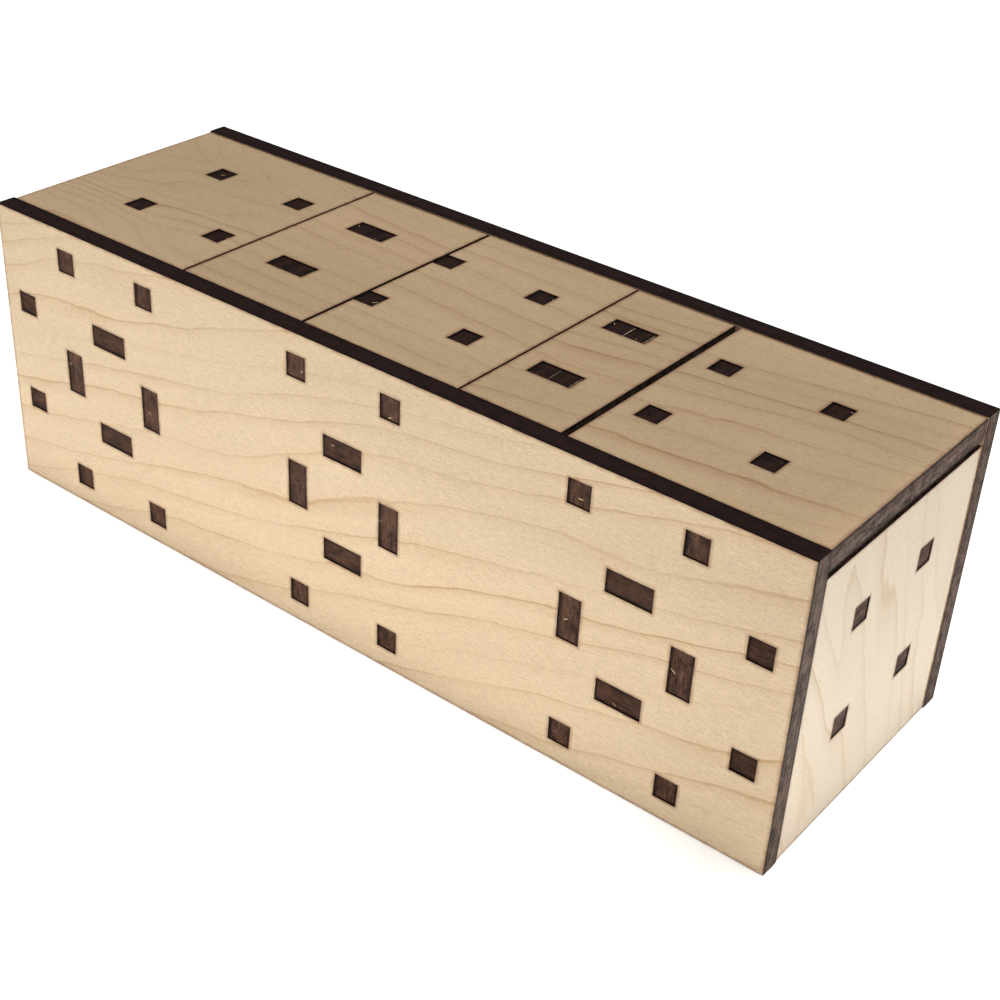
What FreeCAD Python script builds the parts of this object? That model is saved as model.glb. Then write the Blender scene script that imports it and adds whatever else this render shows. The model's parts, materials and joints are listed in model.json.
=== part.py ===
import FreeCAD, Part
import os

# A laser-cut plywood puzzle box, in millimetres.
# Origin: centre of the footprint, on the surface that the box stands on.
# X runs along the box, Y from the front panel to the back panel, Z up.
# The two lids lift straight up. Two hidden bolts slide along X and lock them.

# ---- Driving dimensions -------------------------------------------------

PANEL_LENGTH = 168.0   # front and back panel, along X
PANEL_HEIGHT = 56.0    # front and back panel, along Z
BOX_DEPTH = 55.6       # over the outer faces of the front and back panel
PLY = 3.8              # thickness of the sheet that every piece is cut from
TENON = 4.0            # width of a narrow tenon
WIDE_TENON = 8.0       # width of a wide tenon

RIB_OFFSET = 10.0      # rib centre from the middle of its bay
ROW_OFFSET = 10.0      # centre of a row of tenons or a bolt bar from the middle of the box
SHELF_DROP = 14.0      # shelf centre from the inner face of the top or the bottom
SHELF_RIM = 8.0        # strip of shelf left between a compartment and a side panel
SHELF_LEDGE = 3.0      # strip of shelf left between a compartment and a rib
SEAM_FROM_RIB = 6.0    # outer edge of a lid from the rib beside it
RIGHT_LID_REACH = 8.0  # inner edge of the right lid from the middle of its holes
END_PANEL_DROP = 1.0   # gap between an end panel and the top panel over it
BRIDGE = 4.0           # strip of a rib left above a bolt bar
SILL = 3.0             # strip of a keeper left below a bolt nose

# ---- Clearances ---------------------------------------------------------

MORTISE_GAP = 0.1      # round a tenon, on each side
SLOT_GAP = 0.05        # beside a sheet in a cross-halving slot, on each side
PANEL_GAP = 0.1        # beside a fixed panel that drops between the side panels
LID_GAP = 0.2          # beside a lid or a keeper that lifts between the side panels
TENON_RECESS = 0.15    # end of a tenon below the face it comes through
FACE_RECESS = 0.2      # end, top and bottom panels below the edges of the side panels
KEEPER_PLAY = 0.4      # spare length of a lid's hole over its two keeper plates
BAR_SLIDE_GAP = 0.3    # beside a sliding bolt bar, on each side
BAR_LIFT_GAP = 0.1     # below a bolt bar or a keeper that stands on the shelf
BAR_TOP_GAP = 0.6      # above a bolt bar
NOSE_GAP = 0.3         # below a bolt nose in its keeper
END_GAP = 1.0          # at each end of a bolt's travel

# How far each edge of a lid stands back from its seam line
LEFT_LID_OUTER_GAP = 0.3
LEFT_LID_INNER_GAP = 0.45
RIGHT_LID_INNER_GAP = 0.25
RIGHT_LID_OUTER_GAP = 0.7
RIGHT_PANEL_SETBACK = 0.45   # the right top panel is cut short of its seam line

# ---- Derived places -----------------------------------------------------

SEAT = PLY + FACE_RECESS                 # how far the inner faces lie inside the panel edges
INNER_X = PANEL_LENGTH / 2 - SEAT        # inner face of an end panel
INNER_Y = BOX_DEPTH / 2 - PLY            # inner face of a side panel
BASE_Z = SEAT                            # inner face of the bottom panel
TOP_Z = PANEL_HEIGHT - SEAT              # underside of the top panels and lids
MIDDLE_Z = PANEL_HEIGHT / 2

BAY_PITCH = PANEL_LENGTH / 3             # three equal bays along the box
BAY_CENTRES = (-BAY_PITCH, 0.0, BAY_PITCH)
LID_HOLE_X = BAY_PITCH / 2               # a lid's holes lie halfway between two bays
ROWS_Y = (-ROW_OFFSET, ROW_OFFSET)
SIDES = {"left": -1, "right": 1}

UPPER_SHELF_Z = TOP_Z - SHELF_DROP
LOWER_SHELF_Z = BASE_Z + SHELF_DROP
SHELF_CENTRES = (LOWER_SHELF_Z, UPPER_SHELF_Z)

OUTER_RIB_X = BAY_PITCH + RIB_OFFSET
INNER_RIB_X = BAY_PITCH - RIB_OFFSET
RIBS = {
    "left_outer_rib": -OUTER_RIB_X,
    "left_inner_rib": -INNER_RIB_X,
    "middle_left_rib": -RIB_OFFSET,
    "middle_right_rib": RIB_OFFSET,
    "right_inner_rib": INNER_RIB_X,
    "right_outer_rib": OUTER_RIB_X,
}
BOLT_RIBS = (-OUTER_RIB_X, -INNER_RIB_X, INNER_RIB_X, OUTER_RIB_X)
END_TENON_X = INNER_X - TENON / 2        # narrow tenon at each end of a shelf
FOOT_TENON_Z = BASE_Z + TENON / 2        # narrow tenon at the foot of a rib
HEAD_TENON_Z = TOP_Z - TENON / 2         # narrow tenon at the head of a rib

OUTER_SEAM_X = INNER_RIB_X - SEAM_FROM_RIB
LEFT_INNER_SEAM_X = -(RIB_OFFSET + TENON / 2)
RIGHT_INNER_SEAM_X = LID_HOLE_X - RIGHT_LID_REACH

KEEPER_HOLE = 2 * PLY + KEEPER_PLAY + 2 * MORTISE_GAP
STAND_Z = UPPER_SHELF_Z + PLY / 2 + BAR_LIFT_GAP
BAR_TOP_Z = TOP_Z - BRIDGE - BAR_TOP_GAP
WINDOW_TOP_Z = TOP_Z - BRIDGE
SILL_Z = STAND_Z + SILL
NOSE_Z = SILL_Z + NOSE_GAP
BAR_TAIL_X = INNER_X - END_GAP
BAR_TIP_X = LID_HOLE_X + KEEPER_HOLE / 2 + END_GAP
SHOULDER_X = INNER_RIB_X - PLY / 2 - END_GAP
YOKE_X = OUTER_RIB_X - PLY / 2 - END_GAP - PLY / 2
YOKE_TOP_Z = TOP_Z - END_GAP
YOKE_HALF = ROW_OFFSET + PLY / 2 + TENON


# ---- Building blocks ----------------------------------------------------

def around(centre, width, gap=0.0):
    """The two limits of a width centred on a place, opened by a gap at each side."""
    half = width / 2 + gap
    return (centre - half, centre + half)


def block(x, y, z):
    """A box between limits, each given in either order."""
    low = FreeCAD.Vector(min(x), min(y), min(z))
    size = [abs(limits[1] - limits[0]) for limits in (x, y, z)]
    return Part.makeBox(size[0], size[1], size[2], low)


def joined(shapes):
    """One solid of pieces that share faces."""
    first, *others = shapes
    return first.fuse(others).removeSplitter()


def without(shape, tools):
    """The shape with every tool cut out of it."""
    return shape.cut(tools).removeSplitter()


def save(name, shape):
    """Write one piece, which has to be a single valid solid."""
    if len(shape.Solids) != 1 or not shape.isValid():
        raise ValueError(name + " isn't one valid solid")
    shape.Solids[0].exportStep(os.path.join("parts", name + ".step"))


# ---- Fixed panels -------------------------------------------------------

def side_panel(side):
    """Front (-1) or back (+1) panel, with a mortise for each tenon of the ribs and shelves."""
    face_y = (side * INNER_Y, side * (INNER_Y + PLY))
    mortises = []
    for rib_x in RIBS.values():
        sheet_x = around(rib_x, PLY, MORTISE_GAP)
        mortises.append(block(sheet_x, face_y, around(FOOT_TENON_Z, TENON, MORTISE_GAP)))
        mortises.append(block(sheet_x, face_y, around(HEAD_TENON_Z, TENON, MORTISE_GAP)))
        mortises.append(block(sheet_x, face_y, around(MIDDLE_Z, WIDE_TENON, MORTISE_GAP)))
    for shelf_z in SHELF_CENTRES:
        sheet_z = around(shelf_z, PLY, MORTISE_GAP)
        for bay_x in BAY_CENTRES:
            mortises.append(block(around(bay_x, WIDE_TENON, MORTISE_GAP), face_y, sheet_z))
        for end_x in (-END_TENON_X, END_TENON_X):
            mortises.append(block(around(end_x, TENON, MORTISE_GAP), face_y, sheet_z))
    plate = block(around(0.0, PANEL_LENGTH), face_y, (0.0, PANEL_HEIGHT))
    return without(plate, mortises)


def end_panel(side):
    """Left (-1) or right (+1) panel, held between the side panels by the shelves' tenons."""
    face_x = (side * INNER_X, side * (INNER_X + PLY))
    half_depth = INNER_Y - PANEL_GAP
    plate = block(face_x, (-half_depth, half_depth), (0.0, TOP_Z - END_PANEL_DROP))
    mortises = [
        block(face_x, around(row_y, TENON, MORTISE_GAP), around(shelf_z, PLY, MORTISE_GAP))
        for row_y in ROWS_Y
        for shelf_z in SHELF_CENTRES
    ]
    return without(plate, mortises)


def rib_mortises(z):
    """Mortises for the narrow tenons on every rib's top or bottom edge."""
    return [
        block(around(rib_x, PLY, MORTISE_GAP), around(row_y, TENON, MORTISE_GAP), z)
        for rib_x in RIBS.values()
        for row_y in ROWS_Y
    ]


def bottom_panel():
    """Floor between the end panels, on the ribs' lower tenons."""
    half_depth = INNER_Y - PANEL_GAP
    z = (BASE_Z - PLY, BASE_Z)
    plate = block((-INNER_X, INNER_X), (-half_depth, half_depth), z)
    return without(plate, rib_mortises(z))


def top_panel(x):
    """Fixed stretch of the top between two limits along X, on the ribs' upper tenons."""
    half_depth = INNER_Y - PANEL_GAP
    z = (TOP_Z, TOP_Z + PLY)
    return without(block(x, (-half_depth, half_depth), z), rib_mortises(z))


# ---- Frame inside -------------------------------------------------------

def shelf(shelf_z):
    """Level plate through all the ribs, open over both compartments."""
    z = around(shelf_z, PLY)
    tenon_y = INNER_Y + PLY - TENON_RECESS
    tenon_x = INNER_X + PLY - TENON_RECESS
    solids = [block((-INNER_X, INNER_X), (-INNER_Y, INNER_Y), z)]
    for bay_x in BAY_CENTRES:
        solids.append(block(around(bay_x, WIDE_TENON), (-tenon_y, tenon_y), z))
    for end_x in (-END_TENON_X, END_TENON_X):
        solids.append(block(around(end_x, TENON), (-tenon_y, tenon_y), z))
    for row_y in ROWS_Y:
        solids.append(block((-tenon_x, tenon_x), around(row_y, TENON), z))
    cuts = [
        block(around(rib_x, PLY, SLOT_GAP), (0.0, INNER_Y), z)
        for rib_x in RIBS.values()
    ]
    window_half = INNER_Y - SHELF_RIM
    rib_margin = PLY / 2 + SHELF_LEDGE
    window_x = (RIB_OFFSET + rib_margin, INNER_RIB_X - rib_margin)
    for side in SIDES.values():
        x = (side * window_x[0], side * window_x[1])
        cuts.append(block(x, (-window_half, window_half), z))
    return without(joined(solids), cuts)


def rib(rib_x):
    """Upright plate across the box, halved with both shelves."""
    x = around(rib_x, PLY)
    tenon_y = INNER_Y + PLY - TENON_RECESS
    solids = [block(x, (-INNER_Y, INNER_Y), (BASE_Z, TOP_Z))]
    for z in (
        around(FOOT_TENON_Z, TENON),
        around(HEAD_TENON_Z, TENON),
        around(MIDDLE_Z, WIDE_TENON),
    ):
        solids.append(block(x, (-tenon_y, tenon_y), z))
    tenon_z = (BASE_Z - PLY + TENON_RECESS, TOP_Z + PLY - TENON_RECESS)
    for row_y in ROWS_Y:
        solids.append(block(x, around(row_y, TENON), tenon_z))
    cuts = [
        block(x, (-INNER_Y, 0.0), around(shelf_z, PLY, SLOT_GAP))
        for shelf_z in SHELF_CENTRES
    ]
    if rib_x in BOLT_RIBS:
        for row_y in ROWS_Y:
            y = around(row_y, PLY, BAR_SLIDE_GAP)
            cuts.append(block(x, y, (UPPER_SHELF_Z + PLY / 2, WINDOW_TOP_Z)))
    return without(joined(solids), cuts)


# ---- Lids ---------------------------------------------------------------

def lid(side, x):
    """Loose stretch of the top, with two holes for its keepers' tenons."""
    half_depth = INNER_Y - LID_GAP
    z = (TOP_Z, TOP_Z + PLY)
    hole_x = around(side * LID_HOLE_X, KEEPER_HOLE)
    holes = [block(hole_x, around(row_y, TENON, MORTISE_GAP), z) for row_y in ROWS_Y]
    return without(block(x, (-half_depth, half_depth), z), holes)


def keeper(side, place):
    """One of the two plates glued side by side under a lid; place 0 is the left one."""
    first_x = side * LID_HOLE_X - KEEPER_HOLE / 2 + MORTISE_GAP
    x = (first_x + place * PLY, first_x + (place + 1) * PLY)
    half_depth = INNER_Y - LID_GAP
    solids = [block(x, (-half_depth, half_depth), (STAND_Z, TOP_Z))]
    tenon_z = (TOP_Z, TOP_Z + PLY - TENON_RECESS)
    for row_y in ROWS_Y:
        solids.append(block(x, around(row_y, TENON), tenon_z))
    windows = [
        block(x, around(row_y, PLY, BAR_SLIDE_GAP), (SILL_Z, WINDOW_TOP_Z))
        for row_y in ROWS_Y
    ]
    return without(joined(solids), windows)


# ---- Bolts --------------------------------------------------------------

def bolt_bar(side, row_y):
    """Sliding strip with a raised nose, notched from above for its yoke."""
    y = around(row_y, PLY)
    body_x = (side * BAR_TAIL_X, side * SHOULDER_X)
    nose_x = (side * BAR_TAIL_X, side * BAR_TIP_X)
    body = block(body_x, y, (STAND_Z, BAR_TOP_Z))
    nose = block(nose_x, y, (NOSE_Z, BAR_TOP_Z))
    half_z = (STAND_Z + BAR_TOP_Z) / 2
    notch = block(around(side * YOKE_X, PLY, SLOT_GAP), y, (half_z, BAR_TOP_Z))
    return without(joined([body, nose]), [notch])


def bolt_yoke(side):
    """Cross plate that ties two bars together, notched from below over each bar."""
    x = around(side * YOKE_X, PLY)
    plate = block(x, (-YOKE_HALF, YOKE_HALF), (STAND_Z, YOKE_TOP_Z))
    half_z = (STAND_Z + BAR_TOP_Z) / 2
    notches = [
        block(x, around(row_y, PLY, SLOT_GAP), (STAND_Z, half_z))
        for row_y in ROWS_Y
    ]
    return without(plate, notches)


# ---- All the pieces -----------------------------------------------------

def main():
    os.makedirs("parts", exist_ok=True)
    top_end_x = INNER_X + PLY
    left_lid_x = (
        -OUTER_SEAM_X + LEFT_LID_OUTER_GAP,
        LEFT_INNER_SEAM_X - LEFT_LID_INNER_GAP,
    )
    right_lid_x = (
        RIGHT_INNER_SEAM_X + RIGHT_LID_INNER_GAP,
        OUTER_SEAM_X - RIGHT_LID_OUTER_GAP,
    )

    save("front_panel", side_panel(-1))
    save("back_panel", side_panel(1))
    save("bottom_panel", bottom_panel())
    save("top_panel_left", top_panel((-top_end_x, -OUTER_SEAM_X)))
    save("top_panel_middle", top_panel((LEFT_INNER_SEAM_X, RIGHT_INNER_SEAM_X)))
    save("top_panel_right", top_panel((OUTER_SEAM_X + RIGHT_PANEL_SETBACK, top_end_x)))
    save("upper_shelf", shelf(UPPER_SHELF_Z))
    save("lower_shelf", shelf(LOWER_SHELF_Z))
    for name, rib_x in RIBS.items():
        save(name, rib(rib_x))
    save("left_lid", lid(-1, left_lid_x))
    save("right_lid", lid(1, right_lid_x))
    for name, side in SIDES.items():
        save(name + "_end_panel", end_panel(side))
        save(name + "_keeper_left_plate", keeper(side, 0))
        save(name + "_keeper_right_plate", keeper(side, 1))
        save(name + "_bolt_front_bar", bolt_bar(side, -ROW_OFFSET))
        save(name + "_bolt_back_bar", bolt_bar(side, ROW_OFFSET))
        save(name + "_bolt_yoke", bolt_yoke(side))


main()
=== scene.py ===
"""Looks of a laser-cut plywood puzzle box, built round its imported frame.

Every part of the box is a flat sheet of 3.8 mm birch plywood. Each CAD node is
redrawn as a sheet with eased arrises, plies and burnt edges, and Geometry Nodes
add the kerf ridges and splinters that the laser leaves on its cuts.
"""

import json
import logging
import math
import random
from dataclasses import dataclass, field
from enum import Enum

import bmesh
import bpy
import numpy as np
from mathutils import Matrix, Vector

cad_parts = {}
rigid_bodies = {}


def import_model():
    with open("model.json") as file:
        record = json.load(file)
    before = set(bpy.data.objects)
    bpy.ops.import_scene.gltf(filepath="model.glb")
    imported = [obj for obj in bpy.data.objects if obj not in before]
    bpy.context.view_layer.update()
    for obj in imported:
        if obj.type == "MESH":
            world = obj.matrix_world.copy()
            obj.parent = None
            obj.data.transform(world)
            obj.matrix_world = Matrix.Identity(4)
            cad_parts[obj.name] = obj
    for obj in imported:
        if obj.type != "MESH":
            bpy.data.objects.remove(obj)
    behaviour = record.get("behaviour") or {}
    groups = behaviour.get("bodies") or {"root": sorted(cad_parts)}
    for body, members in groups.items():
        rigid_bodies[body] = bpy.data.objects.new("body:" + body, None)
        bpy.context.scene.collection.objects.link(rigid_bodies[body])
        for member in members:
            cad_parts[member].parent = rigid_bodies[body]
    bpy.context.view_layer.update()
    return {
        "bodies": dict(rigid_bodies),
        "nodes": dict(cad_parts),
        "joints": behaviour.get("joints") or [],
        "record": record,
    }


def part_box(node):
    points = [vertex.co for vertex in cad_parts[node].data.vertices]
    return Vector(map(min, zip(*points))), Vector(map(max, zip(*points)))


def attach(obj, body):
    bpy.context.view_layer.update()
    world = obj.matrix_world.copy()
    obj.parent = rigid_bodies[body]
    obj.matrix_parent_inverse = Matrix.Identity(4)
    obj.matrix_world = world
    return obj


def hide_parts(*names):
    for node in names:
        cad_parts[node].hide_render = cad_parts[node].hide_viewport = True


LOG = logging.getLogger("puzzle_box")

MM = 0.001                  # metres in a millimetre


# ---- Colours and nodes ------------------------------------------------------

Tree = bpy.types.NodeTree
Socket = bpy.types.NodeSocket


def linear(colour: str) -> tuple[float, float, float, float]:
    """Turn an sRGB hex colour into linear RGBA.

    Args:
        colour: six hex digits, such as "e2cbab".

    Returns:
        Linear red, green and blue, and an alpha of 1.
    """
    parts = [int(colour[i:i + 2], 16) / 255 for i in (0, 2, 4)]
    straight = [c / 12.92 if c <= 0.04045 else ((c + 0.055) / 1.055) ** 2.4 for c in parts]
    return (straight[0], straight[1], straight[2], 1.0)


def add(
    tree: Tree,
    kind: str,
    inputs: dict[int | str, object] | None = None,
    stops: tuple[tuple[float, float | str], ...] = (),
    **settings: object,
) -> bpy.types.Node:
    """Add one node with its settings, values and links.

    Args:
        tree: the tree that gets the node.
        kind: the node's type name.
        inputs: socket index or name to a value, or to the socket that feeds it.
        stops: places and grey levels or hex colours of a colour ramp.
        **settings: the node's own properties.

    Returns:
        The new node.
    """
    node = tree.nodes.new(kind)
    for name, value in settings.items():
        setattr(node, name, value)
    for key, value in (inputs or {}).items():
        if isinstance(value, Socket):
            tree.links.new(value, node.inputs[key])
        else:
            node.inputs[key].default_value = value
    for index, (place, level) in enumerate(stops):
        elements = node.color_ramp.elements
        stop = elements[index] if index < len(elements) else elements.new(place)
        stop.position = place
        stop.color = linear(level) if isinstance(level, str) else (level, level, level, 1.0)
    return node


def maths(tree: Tree, operation: str, *values: object) -> Socket:
    """Add a maths node and return its value."""
    return add(tree, "ShaderNodeMath", dict(enumerate(values)), operation=operation).outputs[0]


def carried(tree: Tree, name: str, output: str = "Fac") -> Socket:
    """Add a node for an attribute that the mesh carries, and return its value."""
    return add(tree, "ShaderNodeAttribute", attribute_name=name).outputs[output]


def ramp(tree: Tree, value: Socket, stops: tuple[tuple[float, float | str], ...]) -> Socket:
    """Add a colour ramp and return its colour."""
    return add(tree, "ShaderNodeValToRGB", {0: value}, stops=stops).outputs[0]


def rescale(
    tree: Tree, value: Socket, old: tuple[float, float], new: tuple[float, float] = (0.0, 1.0)
) -> Socket:
    """Map one range of values to another.

    Args:
        tree: the tree that gets the node.
        value: what is mapped.
        old: the two values that become the ends of the new range.
        new: the new range's ends.

    Returns:
        The mapped value, which stays within the new range.
    """
    inputs = {0: value, 1: old[0], 2: old[1], 3: new[0], 4: new[1]}
    return add(tree, "ShaderNodeMapRange", inputs).outputs[0]


def blend(
    tree: Tree, amount: Socket | float, first: Socket | str, second: Socket | str, mode: str = "MIX"
) -> Socket:
    """Mix two colours.

    Args:
        tree: the tree that gets the node.
        amount: how much of the second colour shows, from 0 to 1.
        first: a hex colour, or the socket that gives it.
        second: the same for the second colour.
        mode: how they are mixed.

    Returns:
        The mixed colour.
    """
    ends = [linear(end) if isinstance(end, str) else end for end in (first, second)]
    return add(tree, "ShaderNodeMix", {0: amount, 6: ends[0], 7: ends[1]},
               data_type="RGBA", blend_type=mode).outputs[2]


def new_material(name: str) -> tuple[bpy.types.Material, Tree]:
    """Make an empty node material.

    Args:
        name: the finish's name.

    Returns:
        The material and its cleared node tree.
    """
    material = bpy.data.materials.new(name)
    material.use_nodes = True
    material.node_tree.nodes.clear()
    return material, material.node_tree


# ---- Finishes ---------------------------------------------------------------

NOISE_RANGE = (0.3, 0.7)    # where most values of a noise lie


@dataclass(frozen=True)
class Surface:
    """How a finish shines, and how strong and deep its fine relief is."""

    gloss: float
    relief: float
    depth: float
    ior: float = 1.45

    def close(self, tree: Tree, colour: Socket, rough: Socket | float, height: Socket) -> None:
        """End a material with its shader and output.

        Args:
            tree: the material's tree.
            colour: the finish's colour.
            rough: its roughness.
            height: its relief, from 0 to 1.
        """
        bump = add(tree, "ShaderNodeBump", {
            "Height": height, "Strength": self.relief, "Distance": self.depth}).outputs[0]
        shader = add(tree, "ShaderNodeBsdfPrincipled", {
            "Base Color": colour, "Roughness": rough, "Normal": bump, "IOR": self.ior,
            "Specular IOR Level": self.gloss}).outputs[0]
        add(tree, "ShaderNodeOutputMaterial", {0: shader})


@dataclass(frozen=True)
class Pattern:
    """A cloudy pattern: how long its blots are along, across and through a sheet."""

    along_mm: float
    across_mm: float
    through_mm: float = 1.0
    detail: float = 1.0
    on: str = "sheet_mm"        # the attribute that it runs on

    def lay(self, tree: Tree) -> Socket:
        """Add the pattern to a material.

        Args:
            tree: the material's tree.

        Returns:
            Its value, which averages a half.
        """
        place = carried(tree, self.on, "Vector")
        scale = (1 / self.along_mm, 1 / self.across_mm, 1 / self.through_mm)
        laid = add(tree, "ShaderNodeMapping", {"Vector": place, "Scale": scale}).outputs[0]
        inputs = {"Vector": laid, "Scale": 1.0, "Detail": self.detail}
        return add(tree, "ShaderNodeTexNoise", inputs).outputs["Fac"]


@dataclass(frozen=True)
class BirchVeneer:
    """Rotary-cut birch face veneer, sanded and left bare.

    The knife peels the log, so growth rings show as thin amber lines that run
    nearly side by side and wander, each with a soft shadow below it. Short pore
    dashes and a silky fibre lie along the grain. Bare birch is matt and warm.
    """

    name: str
    pale: str = "edd4ae"            # early wood
    deep: str = "b2762c"            # late wood, along the growth lines
    pore: str = "9c7a50"
    scorch: str = "9a5a2a"          # smoke stain beside a laser cut
    line_mm: float = 6.0            # from one growth line to the next
    line_depth: float = 0.7
    line_shadow: tuple[tuple[float, float], ...] = (    # from one line to the next
        (0.0, 0.12), (0.5, 0.0), (0.72, 0.16), (0.9, 0.42), (0.95, 1.0), (0.975, 0.9), (1.0, 0.12),
    )
    line_strengths: tuple[float, float] = (0.2, 1.0)    # the faintest line and the strongest
    wander: float = 5.0             # how many lines a growth line strays by
    ripple: float = 0.22            # the same, for its small curls
    fade_range: tuple[float, float] = (0.36, 0.6)
    faded: float = 0.35             # what is left of a line where it fades
    pore_depth: float = 0.38
    pore_radius: float = 0.23       # as a share of a pore's cell
    pore_range: tuple[float, float] = (0.4, 0.66)
    pore_least: float = 0.1         # what is left of the pores between the patches
    pore_sink: float = 0.6
    tone_depth: float = 0.14
    silk_depth: float = 0.14
    grit_depth: float = 0.14
    stain: float = 0.7
    stain_mm: float = 0.9
    stain_core_mm: float = 0.05     # full stain up to here
    stain_ragged_mm: float = 0.35   # how far the stain's edge strays either way
    stain_fall: float = 1.9
    rough: tuple[float, float] = (0.52, 0.68)
    surface: Surface = Surface(gloss=0.3, relief=0.35, depth=0.05 * MM)
    drift: Pattern = Pattern(95.0, 24.0, detail=2.0, on="figure_mm")
    curl: Pattern = Pattern(7.0, 2.4, detail=2.0, on="figure_mm")
    reach: Pattern = Pattern(45.0, 14.0, on="figure_mm")
    tone: Pattern = Pattern(110.0, 30.0, detail=2.0)
    fibre: Pattern = Pattern(2.0, 0.36, detail=3.0)
    grit: Pattern = Pattern(0.5, 0.32, detail=2.0)
    patch: Pattern = Pattern(22.0, 7.0, detail=2.0)
    smoke: Pattern = Pattern(1.6, 1.6, detail=2.0)
    dash_mm: tuple[float, float, float] = (1.5, 0.26, 1.0)

    def build(self) -> bpy.types.Material:
        """Make the material, on the millimetres that each sheet carries."""
        material, tree = new_material(self.name)
        low, high = NOISE_RANGE
        fibre = self.fibre.lay(tree)
        colour = blend(tree, self.growth_lines(tree), self.pale, self.deep)
        for value, depth in (
            (self.tone.lay(tree), self.tone_depth),
            (fibre, self.silk_depth),
            (self.grit.lay(tree), self.grit_depth),
        ):
            shade = ramp(tree, value, ((low, 1 - depth), (high, 1.0)))
            colour = blend(tree, 1.0, colour, shade, "MULTIPLY")
        pores = self.pores(tree)
        colour = blend(tree, maths(tree, "MULTIPLY", pores, self.pore_depth), colour, self.pore)
        colour = blend(tree, self.smoke_stain(tree), colour, self.scorch, "MULTIPLY")
        rough = rescale(tree, fibre, NOISE_RANGE, self.rough)
        height = maths(tree, "MULTIPLY_ADD", pores, -self.pore_sink, fibre)
        self.surface.close(tree, colour, rough, height)
        return material

    def growth_lines(self, tree: Tree) -> Socket:
        """Add the growth lines.

        Each line is a step of a count that climbs across the grain and strays
        with the drift and the curl.

        Args:
            tree: the material's tree.

        Returns:
            How much late wood shows, from 0 to the lines' depth.
        """
        place = carried(tree, "figure_mm", "Vector")
        across = add(tree, "ShaderNodeSeparateXYZ", {0: place}).outputs[1]
        stray = maths(tree, "MULTIPLY", carried(tree, "restless"), self.wander)
        count = maths(tree, "MULTIPLY", across, 1 / self.line_mm)
        count = maths(tree, "MULTIPLY_ADD", self.drift.lay(tree), stray, count)
        count = maths(tree, "MULTIPLY_ADD", self.curl.lay(tree), self.ripple, count)
        shadow = ramp(tree, maths(tree, "FRACT", count), self.line_shadow)
        number = maths(tree, "FLOOR", count)
        chance = add(tree, "ShaderNodeTexWhiteNoise", {"W": number}, noise_dimensions="1D").outputs[0]
        strength = rescale(tree, chance, (0.0, 1.0), self.line_strengths)
        fading = rescale(tree, self.reach.lay(tree), self.fade_range, (self.faded, 1.0))
        for value in (strength, fading, self.line_depth):
            shadow = maths(tree, "MULTIPLY", shadow, value)
        return shadow

    def pores(self, tree: Tree) -> Socket:
        """Add the pores, short dashes along the grain that crowd in some patches.

        Args:
            tree: the material's tree.

        Returns:
            How much of a pore shows, from 0 to 1.
        """
        place = carried(tree, "sheet_mm", "Vector")
        laid = add(tree, "ShaderNodeVectorMath", {0: place, 1: self.dash_mm},
                   operation="DIVIDE").outputs[0]
        cells = add(tree, "ShaderNodeTexVoronoi", {"Vector": laid, "Scale": 1.0})
        dash = maths(tree, "LESS_THAN", cells.outputs["Distance"], self.pore_radius)
        crowd = rescale(tree, self.patch.lay(tree), self.pore_range, (self.pore_least, 1.0))
        return maths(tree, "MULTIPLY", dash, crowd)

    def smoke_stain(self, tree: Tree) -> Socket:
        """Add the stain that fades away from each cut.

        Args:
            tree: the material's tree.

        Returns:
            How much of the stain shows, from 0 to its depth.
        """
        ragged = maths(tree, "MULTIPLY_ADD", self.smoke.lay(tree), 2 * self.stain_ragged_mm,
                       -self.stain_ragged_mm)
        far = maths(tree, "ADD", carried(tree, "cut_mm"), ragged)
        mask = rescale(tree, far, (self.stain_core_mm, self.stain_mm), (1.0, 0.0))
        return maths(tree, "MULTIPLY", maths(tree, "POWER", mask, self.stain_fall), self.stain)


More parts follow.
